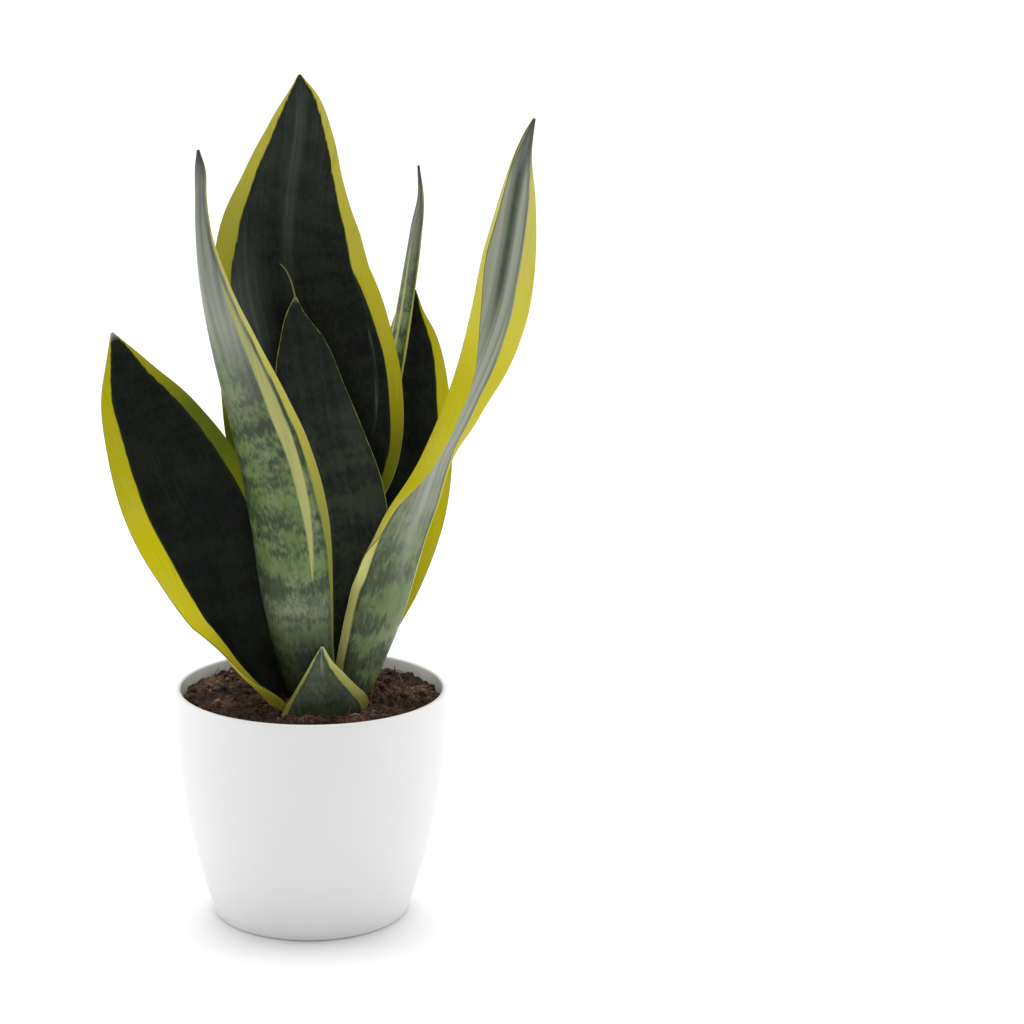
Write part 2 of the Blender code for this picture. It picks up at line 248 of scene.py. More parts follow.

# Leaves. Lengths are in mm, z is the height above the ground; left and right as on the inner face.
# stations: x, y, z, width, turn, cup, then roll (degrees) and the fold's place, as in the CAD model
# thick, grooves: the blade's thickness and the depth of the channel along its middle
# margins: z, then the yellow margin's width on the left and the right
# marginTone: z, cream, green; greenLeft and greenRight add z, green on one side only
# tones: z, banding, paleness with painted sheen; paintedShading: z, painted shade below 1, painted
# light above 1
# stripes: side, then z, distance in from the edge, half width, below 0 for none
# tip: how far the tip's tone reaches down, then the tone, dark below 0 and pale above
# paintedMidrib: from z, to z, how pale the painted highlight along the middle channel is, painted
# shade below 0
# paintedSheen: painted highlights, place and spread across in shares of the half width, from z, to
# z, how pale the spot is
# softness: how much light stays in the dark bands; stretch, shift: the bands drawn longer, moved on
leaves = {
    "leafTallBack": dict(
        node="leaf_tall_back", thick=2.4, tip=(5, -0.3), grooves=0.5, paintedMidrib=(300, 417, 0.3),
        paintedSheen=[(-0.66, 0.22, 262, 330, 0.8)],
        stations=[
            (4, 11, 98, 30, 2, 52), (4, 12, 115, 32, 2, 50), (2, 15, 145, 38, 2, 42),
            (0, 19, 180, 50, 2, 32), (-1, 22, 210, 74, 2, 24), (1, 25, 235, 88, 2, 19),
            (0, 28, 262, 91, 2, 17), (-4, 31, 290, 86, 2, 15), (-10, 34, 317, 79, 2, 14),
            (-11, 36, 342, 69, 2, 13), (-9, 38, 365, 51, 2, 12), (-6, 40, 388, 34, 2, 11),
            (-5, 41, 405, 18, 2, 10), (-6, 42, 417, 1, 2, 8)],
        margins=[
            (98, 5, 5), (180, 6, 5.5), (237, 7.5, 6), (252, 8, 7), (276, 8, 6.8), (294, 8.2, 7.5),
            (320, 8.7, 8.6), (336, 10, 7.6), (353, 8, 6), (368, 5.6, 4.6), (384, 4.5, 4.3),
            (399, 2.6, 3.4), (412, 0.6, 1), (417, 0.1, 0.1)],
        marginTone=[
            (98, 0, 0.9), (235, 0, 0.8), (262, 0, 0.3), (290, 0.05, 0.08), (340, 0.25, 0.1),
            (417, 0.35, 0.1)],
        greenLeft=[(98, 0.4), (320, 0.45), (345, 0.35), (370, 0.15), (417, 0)],
        stripes=[("right", [
            (236, 15.5, -1), (242, 14.5, 0.6), (276, 12, 0.6), (294, 10, 0.5), (335, 7.8, 0.4),
            (345, 7, -1)])],
        tones=[(98, 0.3, 0), (330, 0.4, 0), (370, 0.5, 0.14), (417, 0.5, 0.2)]),
    "leafLeft": dict(
        node="leaf_left", thick=2.3, tip=(4, 0.8), grooves=0.3, stripes=[], paintedMidrib=None, paintedSheen=[],
        stations=[
            (-12, -11, 98, 31, 80, 88), (-19, -11.5, 112, 37, 76, 85),
            (-33, -12.5, 138, 48, 50, 62), (-40, -10, 158, 55, 34, 36),
            (-51, -8, 192, 67, 25, 20), (-64, -6, 219, 66, 24, 17), (-76, -5, 245, 54, 24, 15),
            (-86, -4, 267, 36, 24, 12), (-91, -3, 281, 19, 24, 10), (-96, -2, 295, 1, 24, 8)],
        margins=[
            (98, 15, 5), (122, 15.5, 7), (140, 13, 7.4), (155, 11, 7.6), (172, 11.2, 7.8),
            (205, 12, 7.8), (220, 11.8, 7.6), (232, 11, 7.2), (248, 9.6, 6.5), (260, 7.4, 6),
            (272, 4.7, 5), (284, 2, 2), (292, 0.4, 0.4)],
        marginTone=[
            (98, 0.15, 0.6), (112, 0.15, 0.4), (128, 0.1, 0.15), (145, 0, 0), (215, 0, 0.05),
            (245, 0, 0.3), (295, 0, 0.35)],
        greenRight=[(98, 0.9), (240, 0.85), (255, 0.6), (275, 0.3), (295, 0)],
        tones=[(98, 0.15, 0), (295, 0.25, 0)],
        paintedShading=[(98, 1), (135, 1.2), (160, 1.35), (190, 1.15), (230, 1), (295, 1)]),
    "leafFrontBanded": dict(
        node="leaf_front_banded", thick=2.3, tip=(14, -0.9), grooves=0.3, paintedMidrib=None, paintedSheen=[],
        softness=0.06, stretch=1.12,
        stations=[
            (2, -22, 98, 24, 172, 52), (0, -24, 114, 27, 168, 52), (-7, -27, 145, 37, 160, 52),
            (-12, -29, 175, 46, 154, 52), (-16, -31, 205, 51, 150, 52),
            (-22, -33, 235, 49, 150, 54), (-30, -35, 262, 42, 150, 58),
            (-39, -37, 290, 32, 150, 60), (-47, -39, 320, 20, 150, 62),
            (-51, -41, 348, 9.5, 150, 50), (-51.5, -42, 364, 6.5, 150, 40),
            (-51.5, -43, 378, 5.5, 150, 30), (-52, -43.5, 386, 1, 150, 20)],
        margins=[
            (98, 1, 0.3), (165, 1.4, 0.3), (190, 2.5, 0.3), (205, 4, 0.4), (220, 4.8, 0.4),
            (256, 3.8, 0.4), (285, 2.8, 0.4), (310, 2, 0.4), (330, 1.5, 0.4), (360, 0.5, 0.3),
            (386, 0.1, 0.1)],
        marginTone=[
            (98, 0.3, 1), (165, 0.4, 0.9), (195, 0.45, 0.75), (225, 0.4, 0.5), (256, 0.45, 0.22),
            (300, 0.7, 0), (386, 0.8, 0)],
        stripes=[("left", [
            (172, 10, -1.0), (180, 10.1, 0.6), (199, 10.4, 1.4), (220, 10.4, 2.5),
            (256, 8.8, 3.1), (285, 5.9, 2.2), (318, 3.5, 1.0), (330, 2.9, -1)])],
        tones=[
            (98, 0.2, 0), (128, 0.4, 0), (150, 0.55, 0), (163, 1, 0.25), (172, 0.9, 0.05),
            (200, 0.85, 0), (255, 0.8, 0), (280, 0.6, 0.25), (305, 0.25, 0.85), (386, 0, 1)],
        paintedShading=[
            (98, 0.1), (120, 0.2), (140, 0.48), (160, 0.88), (175, 1), (290, 1), (340, 0.84),
            (386, 0.6)]),
    "leafYoungCentre": dict(
        node="leaf_young_centre", thick=2.0, tip=(3, 0.5), grooves=0.3, stripes=[], paintedMidrib=None,
        paintedSheen=[],
        stations=[
            (11, 2, 98, 17, 8, 58), (11, 2, 115, 20, 8, 54), (13, 3, 145, 34, 8, 40),
            (14, 4, 175, 46, 8, 28), (11, 6, 208, 52, 8, 20), (4, 8, 238, 46, 8, 18),
            (-1, 9, 263, 36, 8, 16), (-5, 11, 287, 24, 8, 14), (-8, 12, 302, 10, 8, 12),
            (-8, 12, 311, 1, 8, 10)],
        margins=[(98, 0, 0), (311, 0, 0)],
        marginTone=[(98, 0.5, 0.5), (311, 0.8, 0.2)],
        tones=[(98, 1, 0.1), (210, 1, 0.1), (250, 0.7, 0.1), (311, 0.35, 0.08)],
        paintedShading=[(98, 1.5), (140, 2.1), (200, 2.1), (245, 1.6), (272, 1.1), (311, 1)]),
    "leafRightBack": dict(
        node="leaf_right_back", thick=2.2, tip=(6, -0.9), grooves=0.3, stripes=[], paintedMidrib=None,
        paintedSheen=[],
        stations=[
            (21, 20, 98, 24, -22, 42), (22, 21, 115, 26, -22, 42), (28, 26, 140, 34, -20, 34),
            (37, 32, 168, 44, -16, 26), (44, 38, 200, 51, -12, 20), (48, 43, 230, 49, -10, 18),
            (50, 47, 258, 41, -8, 16), (51, 49, 282, 28, -6, 14), (50, 50, 298, 15, -6, 12),
            (52, 51, 310, 1, -6, 10)],
        margins=[
            (98, 5, 5), (140, 6, 7), (189, 6, 7.5), (230, 6, 7.5), (256, 5.5, 7), (272, 4.5, 5.2),
            (285, 3, 4), (298, 1.5, 1.8), (306, 0.3, 0.4)],
        marginTone=[(98, 0, 0.3), (170, 0, 0.1), (200, 0, 0.02), (250, 0, 0.1), (310, 0, 0.15)],
        tones=[(98, 0.2, 0), (310, 0.3, 0)],
        paintedShading=[(98, 1.3), (170, 1.45), (230, 1.3), (310, 1.1)]),
    "leafSlender": dict(
        node="leaf_slender", thick=1.6, tip=(14, -1), grooves=0.2, paintedMidrib=None, paintedSheen=[],
        stations=[
            (1, 18, 98, 12, 165, 45), (3, 19, 118, 13, 165, 45), (12, 22, 150, 15, 160, 40),
            (21, 26, 190, 17, 150, 35), (29, 30, 225, 18, 140, 30), (36, 34, 255, 17, 130, 30),
            (42, 38, 285, 16, 122, 30), (47, 41, 315, 14, 120, 30), (51, 43, 340, 10, 125, 30),
            (54, 44, 357, 4, 140, 20), (53, 45, 373, 1, 150, 10)],
        margins=[
            (98, 0.5, 2), (225, 0.8, 3), (290, 0.8, 4), (318, 0.5, 3), (335, 0.3, 0.6),
            (373, 0.1, 0.1)],
        marginTone=[(98, 0.3, 0.3), (373, 0.5, 0.1)],
        stripes=[("left", [
            (250, 7.5, -1), (262, 7.5, 1.1), (330, 6, 0.7), (345, 4, -1)])],
        tones=[(98, 0.8, 0.05), (300, 0.9, 0.05), (325, 0.6, 0.3), (373, 0.1, 0.6)]),
    "leafRightTwisted": dict(
        node="leaf_right_twisted", thick=2.0, tip=(30, -1), grooves=0.3, stripes=[],
        paintedMidrib=(285, 395, -1), paintedSheen=[(-0.2, 0.3, 175, 262, 0.4)], softness=0.14, stretch=1.6,
        shift=-6.3,
        stations=[
            (19, -5, 98, 27, 218, 55), (23, -7, 114, 29, 215, 52), (30, -11, 140, 34, 208, 48),
            (36, -14, 166, 35.5, 204, 40), (40, -17, 184, 34.5, 205, 32, -54, 0.8),
            (43, -18, 197, 36.5, 212, 22, -108, 0.77), (50, -21, 216, 36, 222, 9, -125, 0.79),
            (57.5, -23.5, 238, 34.5, 232, -8, -133, 0.59),
            (68, -27, 262, 37.5, 226, -12, -125, 0.55), (77, -31, 286, 41, 216, -12, -108, 0.52),
            (85, -34, 312, 39, 206, -10, -92, 0.6), (90, -36, 340, 33, 202, -8, -76, 0.64),
            (93.5, -38, 365, 24, 202, -6, -71, 0.52), (97.5, -39, 386, 10.5, 202, -5, -60, 0.56),
            (103, -40, 402, 1, 202, 0)],
        margins=[
            (98, 1, 4), (170, 1, 4.4), (184, 1, 5.5), (197, 1, 7), (216, 1.1, 8),
            (238, 1.8, 10.5), (249, 4.2, 11.5), (271, 7.5, 11), (290, 8.8, 9.8), (308, 9, 7.8),
            (323, 8.8, 6.2), (338, 7, 5.2), (357, 4.8, 4.2), (382, 1, 2.5), (396, 0.2, 0.5)],
        marginTone=[
            (98, 0.8, 0.25), (140, 0.9, 0.02), (185, 0.9, 0), (205, 0.4, 0.1), (225, 0, 0.2),
            (280, 0, 0.15), (300, 0.1, 0), (340, 0.45, 0), (402, 0.7, 0)],
        tones=[
            (98, 0.9, 0), (130, 0.95, 0.02), (190, 0.9, 0.08), (222, 0.6, 0.5), (250, 0.2, 0.95),
            (402, 0.1, 1)],
        paintedShading=[(98, 0.6), (118, 0.95), (130, 1), (402, 1)]),
    "leafShortFront": dict(
        node="leaf_short_front", thick=1.8, tip=(3, 0.6), grooves=0.2, stripes=[], paintedMidrib=None,
        paintedSheen=[(0.05, 0.1, 132, 146, 0.7)],
        stations=[
            (9, -34, 98, 58, 196, 66), (9, -35, 110, 57, 194, 62), (7.5, -35, 119, 44, 190, 56),
            (6, -34, 129, 26, 186, 48), (5, -33, 138, 11, 182, 36), (5, -32, 146, 1, 180, 30)],
        margins=[
            (98, 11, 4.8), (110, 10.5, 4.4), (119, 8.5, 3.4), (129, 6, 2.4), (138, 3, 1.3),
            (146, 0.4, 0.3)],
        marginTone=[(98, 0.15, 0.3), (119, 0.4, 0.28), (129, 0.7, 0.25), (146, 0.9, 0)],
        tones=[(98, 0.15, 0), (110, 0.3, 0), (125, 0.5, 0.08), (146, 0.3, 0.25)],
        paintedShading=[(98, 0.22), (110, 0.36), (120, 0.55), (132, 0.85), (146, 1)]),
}
bladeColumns = 48
bladeRows = 150
edgeCrowding = 0.8                   # how much closer the columns stand at a blade's edges
plainFold = (0, 0.45)                # no roll, and a fold's usual place in shares of half the width
foldReach = 0.2                      # how far a fold spreads to each side of its middle
leastWidth = 1.2                     # mm, at a leaf's tip
edgeShare = 0.3                      # a blade's thickness at its edges, as a share of the middle's
tipThinning = 0.6                    # how much of the thickness is gone at the tip
fadeWidth = 30                       # mm: on a blade narrower than this, waves and channel fade
edgeWave = dict(height=0.35, length=14)          # mm: soft waves that grow towards the edges
channelReach = 3.0                   # mm from the middle to the channel's side
patternStep = 420                    # mm of the patterns between the start of one leaf and the next
noStripe = -9.0                      # mm: well outside any stripe
# the painted line along the middle channel, a highlight and painted shade where its amount is below
# 0
paintedMidribLine = dict(fadeIn=40, fadeOut=20, aside=1.0, reach=2.6)       # mm


# The given rows at places 0..1 along the leaf, on a smooth curve through them.
def fair(rows, places):
    rows = np.array([tuple(row) + plainFold[len(row) - 6:] for row in rows], float)
    run = np.concatenate([[0.0], np.cumsum(np.linalg.norm(np.diff(rows[:, :3], axis=0), axis=1))])
    knots = run / run[-1]
    slope = np.gradient(rows, knots, axis=0)
    i = np.clip(np.searchsorted(knots, places, side="right") - 1, 0, len(knots) - 2)
    gap = (knots[i + 1] - knots[i])[:, None]
    s = (places - knots[i])[:, None] / gap
    start = (1 + 2 * s) * (1 - s) ** 2 * rows[i] + s * (1 - s) ** 2 * gap * slope[i]
    end = s * s * (3 - 2 * s) * rows[i + 1] + s * s * (s - 1) * gap * slope[i + 1]
    return start + end


# Sideways and upward offsets of a blade bent by cup and roll, keeping its width round the bend.
def crossSection(width, cup, roll, foldPlace, across):
    fine = np.linspace(-1, 1, 161)
    fold = np.clip((fine - foldPlace + foldReach) / (2 * foldReach), 0, 1)
    angle = np.radians(cup) * fine + np.radians(roll) * fold * fold * (3 - 2 * fold)
    offsets = []
    for values in (np.cos(angle), np.sin(angle)):
        steps = (values[1:] + values[:-1]) / 2 * np.diff(fine) * width / 2
        total = np.concatenate([[0.0], np.cumsum(steps)])
        offsets.append(np.interp(across, fine, total - total[len(fine) // 2]))
    return offsets


# A given list of (z, value, ...) read at each height.
def along(rows, height):
    table = np.array(rows, float)
    return [np.interp(height, table[:, 0], table[:, k]) for k in range(1, table.shape[1])]


# The middle surface of a blade as a grid of points, with what the paint needs to know about it.
def bladeSurface(leaf, seed):
    places = np.linspace(0, 1, bladeRows + 1)
    values = fair(leaf["stations"], places)
    spine = values[:, :3]
    way = np.gradient(spine, places, axis=0)
    way /= np.linalg.norm(way, axis=1)[:, None]
    quarter = math.pi / 2 * edgeCrowding
    across = np.sin(np.linspace(-1, 1, bladeColumns + 1) * quarter) / math.sin(quarter)
    run = np.concatenate([[0.0], np.cumsum(np.linalg.norm(np.diff(spine, axis=0), axis=1))])
    grid, widths = [], []
    for row, (point, ahead, shape) in enumerate(zip(spine, way, values[:, 3:])):
        width, turn, cup, roll, foldPlace = shape
        facing = np.array([math.sin(math.radians(turn)), -math.cos(math.radians(turn)), 0.0])
        up = facing - ahead * facing.dot(ahead)
        up /= np.linalg.norm(up)
        side = np.cross(ahead, up)
        fullWidth = max(width, leastWidth)
        s, h = crossSection(fullWidth, cup, roll, foldPlace, across)
        fade = min(1.0, fullWidth / fadeWidth)
        waves = [noise.noise(Vector((run[row] / edgeWave["length"], seed + 9 * np.sign(u), 0.5)))
                 for u in across]
        ripple = edgeWave["height"] * fade * np.abs(across) ** 3 * np.array(waves)
        channel = leaf["grooves"] * fade * np.exp(-(across * fullWidth / 2 / channelReach) ** 2)
        h = h + ripple - channel
        grid.append(point + np.outer(s, side) + np.outer(h, up))
        widths.append(fullWidth)
    return np.array(grid) * mm, across, run, np.array(widths), spine[:, 2]


# UV maps in millimetres and the painted tones that the leaf skins read.
# bladePaint: banding, paleness with painted sheen, stripe, painted shade and light. marginPaint:
# cream, green, tip, softness.
def paintBlade(mesh, leaf, columnOf, rowOf, surface, index):
    grid, across, run, widths, height = surface
    left, right = along(leaf["margins"], height)
    cream, green = along(leaf["marginTone"], height)
    greenLeft = along(leaf.get("greenLeft", [(0, 0)]), height)[0]
    greenRight = along(leaf.get("greenRight", [(0, 0)]), height)[0]
    # painted shade and light: darker where leaves shadow one another near their bases, lighter
    # above 1
    paintedShading = along(leaf.get("paintedShading", [(0, 1)]), height)[0]
    # paleness: the wax bloom, with painted sheen where a face catches the light
    band, pale = along(leaf["tones"], height)
    u = across[columnOf]
    half = widths[rowOf] / 2
    fromLeft, fromRight = (1 + u) * half, (1 - u) * half
    start = patternStep * index + leaf.get("shift", 0)
    bladeMm = np.stack([u * half, run[rowOf] / leaf.get("stretch", 1) + start], axis=1) / uvUnit
    marginMm = np.stack([left[rowOf] - fromLeft, right[rowOf] - fromRight], axis=1) / uvUnit
    stripe = np.full(len(u), noStripe)
    for side, rows in leaf["stripes"]:
        inward, halfWidth = along(rows, height)
        outside = (height < rows[0][0]) | (height > rows[-1][0])
        halfWidth = np.where(outside, noStripe, halfWidth)
        distance = fromLeft if side == "left" else fromRight
        stripe = np.maximum(stripe, halfWidth[rowOf] - np.abs(distance - inward[rowOf]))
    palenessWithSheen = pale[rowOf].copy()
    # a painted highlight along the middle channel, and painted shade there where the amount is
    # below 0
    if leaf["paintedMidrib"]:
        low, high, amount = leaf["paintedMidrib"]
        reach = np.clip((height - low) / paintedMidribLine["fadeIn"], 0, 1)
        reach = reach * np.clip((high - height) / paintedMidribLine["fadeOut"], 0, 1)
        line = np.exp(-((u * half + paintedMidribLine["aside"]) / paintedMidribLine["reach"]) ** 2)
        palenessWithSheen += line * reach[rowOf] * amount
    # painted highlights: pale spots where the waxy skin reflects light
    for centre, spread, low, high, amount in leaf["paintedSheen"]:
        middle, reach = (low + high) / 2, (high - low) / 2
        spot = np.exp(-((u - centre) / spread) ** 2 - ((height[rowOf] - middle) / reach) ** 2)
        palenessWithSheen += spot * amount
    length, tone = leaf["tip"]
    tip = np.clip(1 - (run[-1] - run[rowOf]) / length, 0, 1) * tone
    oneSide = greenRight[rowOf] * (u > 0) + greenLeft[rowOf] * (u < 0)
    greenness = np.clip(green[rowOf] + oneSide, 0, 1)
    stripePaint = np.clip(stripe / stripeSpan + 0.5, 0, 1)
    bladePaint = np.stack([band[rowOf], np.clip(palenessWithSheen, 0, 1), stripePaint, paintedShading[rowOf]], axis=1)
    softness = np.full(len(u), leaf.get("softness", 0.0))
    marginPaint = np.stack([cream[rowOf], greenness, 0.5 + tip / 2, softness], axis=1)
    corners = np.empty(len(mesh.loops), int)
    mesh.loops.foreach_get("vertex_index", corners)
    for name, values in (("bladeMm", bladeMm), ("marginMm", marginMm)):
        layer = mesh.uv_layers.new(name=name)
        layer.data.foreach_set("uv", values[corners].ravel())
    for name, values in (("bladePaint", bladePaint), ("marginPaint", marginPaint)):
        attribute = mesh.attributes.new(name, "FLOAT_COLOR", "POINT")
        attribute.data.foreach_set("color", values.ravel())


# A grid laid on the blade's middle surface, painted, then thickened to two skins and a rim.
def makeLeaf(name, leaf, index):
    clearSelection()
    bpy.ops.mesh.primitive_grid_add(
        x_subdivisions=bladeColumns, y_subdivisions=bladeRows, size=2, calc_uvs=False)
    piece = bpy.context.object
    piece.name = name
    mesh = piece.data
    flat = np.empty(len(mesh.vertices) * 3)
    mesh.vertices.foreach_get("co", flat)
    flat = flat.reshape(-1, 3)
    columnOf = np.rint((flat[:, 0] + 1) / 2 * bladeColumns).astype(int)
    rowOf = np.rint((flat[:, 1] + 1) / 2 * bladeRows).astype(int)
    surface = bladeSurface(leaf, 3.7 * index)
    mesh.vertices.foreach_set("co", surface[0][rowOf, columnOf].ravel())
    paintBlade(mesh, leaf, columnOf, rowOf, surface, index)
    for skin in skins:
        mesh.materials.append(skin)
    group = piece.vertex_groups.new(name="thickness")
    towardsEdge, towardsTip = np.abs(surface[1][columnOf]), rowOf / bladeRows
    weights = (1 - towardsEdge ** 3) * (1 - tipThinning * towardsTip ** 2)
    for vertex, weight in enumerate(weights):
        group.add([vertex], float(weight), "REPLACE")
    wall = piece.modifiers.new("thickness", "SOLIDIFY")
    wall.thickness = leaf["thick"] * mm
    wall.offset = 0.0
    wall.vertex_group = "thickness"
    wall.thickness_vertex_group = edgeShare
    wall.material_offset = 1
    wall.material_offset_rim = 2
    bpy.ops.object.modifier_apply(modifier="thickness")
    piece.vertex_groups.clear()
    bpy.ops.object.shade_smooth_by_angle(angle=math.radians(50))
    finishPiece(piece, leaf["node"])


for number, (leafName, leafLook) in enumerate(leaves.items()):
    makeLeaf(leafName, leafLook, number)

tipThread = dict(      # the dried thread at the young leaf's tip: x, y, z and radius in mm
    path=[(-7.6, 12, 307, 0.5), (-8.2, 12.1, 311, 0.42), (-9.0, 12.4, 315, 0.34),
          (-10.2, 12.7, 319, 0.3), (-11.8, 13, 322.8, 0.27), (-13.6, 13.3, 325.6, 0.24),
          (-15.6, 13.6, 327, 0.18)])


# A curve drawn as round strands; each point's radius is in mm.
def newStrands(name, resolution):
    curve = bpy.data.curves.new(name, "CURVE")
    curve.dimensions = "3D"
    curve.bevel_depth = 1.0 * mm
    curve.bevel_resolution = resolution
    curve.use_fill_caps = True
    return curve


def strandsToMesh(curve):
    piece = bpy.data.objects.new(curve.name, curve)
    bpy.context.collection.objects.link(piece)
    clearSelection()
    piece.select_set(True)
    bpy.context.view_layer.objects.active = piece
    bpy.ops.object.convert(target="MESH")
    return bpy.context.object


def makeTipThread():
    curve = newStrands("leafTipThread", 2)
    strand = curve.splines.new("NURBS")
    strand.points.add(len(tipThread["path"]) - 1)
    for point, (x, y, z, radius) in zip(strand.points, tipThread["path"]):
        point.co = (x * mm, y * mm, z * mm, 1)
        point.radius = radius
    strand.use_endpoint_u = True
    piece = strandsToMesh(curve)
    bpy.ops.object.shade_smooth()
    piece.data.materials.append(skins[2])
    finishPiece(piece, None)


makeTipThread()
print("leaves made")

pot = dict(            # mm; curve: how late the wall turns in towards the foot
    radius=67.5, height=117, footRadius=48.5, curve=2.25, wall=2.2, floor=3.0, footRounding=2.5,
    sides=160, steps=30)


# The outer wall's radius at a height, in mm.
def wallRadius(z):
    drawnIn = (pot["radius"] - pot["footRadius"]) * (1 - z / pot["height"]) ** pot["curve"]
    return pot["radius"] - drawnIn


# A circle drawn up through (radius, height) rings in mm, each extruded from the last and resized.
def turnedSolid(name, profile, sides):
    clearSelection()
    radius, height = profile[0]
    bpy.ops.mesh.primitive_circle_add(
        vertices=sides, radius=radius * mm, fill_type="NGON", location=(0, 0, height * mm))
    piece = bpy.context.object
    piece.name = name
    bpy.ops.object.transform_apply(location=True, rotation=True, scale=True)
    bpy.ops.object.mode_set(mode="EDIT")
    bpy.ops.mesh.select_all(action="SELECT")
    bpy.ops.mesh.select_mode(type="EDGE")
    bpy.ops.mesh.region_to_loop()
    for nextRadius, nextHeight in profile[1:]:
        rise = (0, 0, (nextHeight - height) * mm)
        bpy.ops.mesh.extrude_edges_move(TRANSFORM_OT_translate={"value": rise})
        share = nextRadius / radius
        bpy.ops.transform.resize(value=(share, share, 1), center_override=(0, 0, nextHeight * mm))
        radius, height = nextRadius, nextHeight
    bpy.ops.mesh.edge_face_add()
    bpy.ops.mesh.select_all(action="SELECT")
    bpy.ops.mesh.normals_make_consistent(inside=False)
    bpy.ops.object.mode_set(mode="OBJECT")
    return piece


# Rounded foot, outer wall, rounded lip and inner wall, down to the edge of the pot's floor.
def potProfile():
    rounding, lip = pot["footRounding"], pot["wall"] / 2
    levels = np.linspace(rounding, pot["height"] - lip, pot["steps"])
    foot = wallRadius(rounding) - rounding
    footRound = [(foot + rounding * math.sin(a), rounding * (1 - math.cos(a)))
                 for a in np.radians(np.linspace(0, 75, 6))]
    outside = [(wallRadius(z), z) for z in levels]
    lipRound = [(pot["radius"] - lip + lip * math.cos(a), pot["height"] - lip + lip * math.sin(a))
                for a in np.radians(np.linspace(22.5, 157.5, 7))]
    lowest = pot["floor"] + pot["wall"]
    inside = [(wallRadius(z) - pot["wall"], z) for z in levels[::-1] if z > lowest]
    return footRound + outside + lipRound + inside + [(foot - pot["wall"], pot["floor"])]


potPiece = turnedSolid("pot", potProfile(), pot["sides"])
bpy.ops.object.shade_smooth_by_angle(angle=math.radians(35))


# Injection-moulded polypropylene from a spark-eroded mould: an even satin white with soft
# highlights and a very fine pebble. Object coordinates are in metres, so the clouds' 18 is
# about 55 mm and the pebble's 1800 about 0.6 mm.
def makePotPlastic():
    mat, tree, shader = newMaterial("satinPolypropylene", Roughness=0.42, Specular_IOR_Level=0.5)
    place = addNode(tree, "TexCoord").outputs["Object"]
    cloud = addNode(tree, "TexNoise", {"Vector": place, "Scale": 18.0, "Detail": 4.0})
    whites = {6: linear("#e0e0e0"), 7: linear("#e4e4e4")}
    colour = addNode(tree, "Mix", {0: cloud, **whites}, data_type="RGBA")
    tree.links.new(colour.outputs[2], shader.inputs["Base Color"])
    pebble = addNode(tree, "TexNoise", {"Vector": place, "Scale": 1800.0, "Detail": 2.0})
    bump = addNode(tree, "Bump", {"Height": pebble, "Distance": 0.04 * mm, "Strength": 0.35})
    tree.links.new(bump.outputs[0], shader.inputs["Normal"])
    gloss = addNode(tree, "MapRange", {0: cloud, 3: 0.38, 4: 0.48})
    tree.links.new(gloss.outputs[0], shader.inputs["Roughness"])
    return mat


potPiece.data.materials.append(makePotPlastic())
finishPiece(potPiece, "pot")
print("pot made")

mix = dict(            # mm; noise layers as the size of a lump and its height
    level=109.5, crown=2.2, crownAt=(10, -6), crownReach=40, lumps=1.25,
    clods=(9.0, 1.9), clumps=(3.6, 1.6), grains=(1.5, 1.3),
    topGap=0.1, sideGap=0.3, footIn=4, centre=0.012, sides=300, rings=84)


# Top of the mix in mm: heaped round the leaves, broken into crumbs of a few millimetres.
def mixHeight(x, y):
    away = math.hypot(x - mix["crownAt"][0], y - mix["crownAt"][1]) / mix["crownReach"]
    swell = 0.5 * math.sin(x / 7 + 1.3) * math.cos(y / 6 - 0.4)
    heap = mix["crown"] * math.exp(-away * away) + swell
    place = Vector((x, y, 0))
    (clod, clodHigh), (clump, clumpHigh) = mix["clods"], mix["clumps"]
    grain, grainHigh = mix["grains"]
    clods = noise.noise(place / clod) * clodHigh
    clods = clods + noise.noise(place / clump + Vector((9, 4, 2))) * clumpHigh
    fine = abs(noise.noise(place / grain + Vector((3, 8, 5)))) * grainHigh
    return mix["level"] + heap + (clods + fine) * mix["lumps"]


def makeMixBody():
    level = mix["level"]
    edge = wallRadius(level) - pot["wall"] - mix["topGap"]
    lowest = pot["floor"] + pot["wall"] + 0.5
    side = [(wallRadius(z) - pot["wall"] - mix["sideGap"], z)
            for z in np.linspace(lowest, level - 2, 14)]
    top = [(edge * share, level) for share in np.linspace(1, mix["centre"], mix["rings"])]
    foot = (side[0][0] - mix["footIn"], pot["floor"] + mix["sideGap"])
    piece = turnedSolid("pottingMix", [foot] + side + top, mix["sides"])
    for vertex in piece.data.vertices:
        x, y, z = vertex.co / mm
        if z > level - 0.1:
            vertex.co.z = mixHeight(x, y) * mm
    piece.data.update()
    bpy.ops.object.shade_smooth_by_angle(angle=math.radians(70))
    return piece


# A place on the mix, spread evenly over its area.
def surfacePlace(dice, outer):
    angle = dice.uniform(0, 2 * math.pi)
    reach = math.sqrt(dice.uniform(0, outer ** 2))
    return reach * math.cos(angle), reach * math.sin(angle)


crumbLook = dict(      # mm; stretch: least and most along each axis
    count=1300, outer=61.5, least=0.45, more=2.3, rough=0.22,
    stretch=((0.7, 1.5), (0.6, 1.1), (0.5, 0.9)))


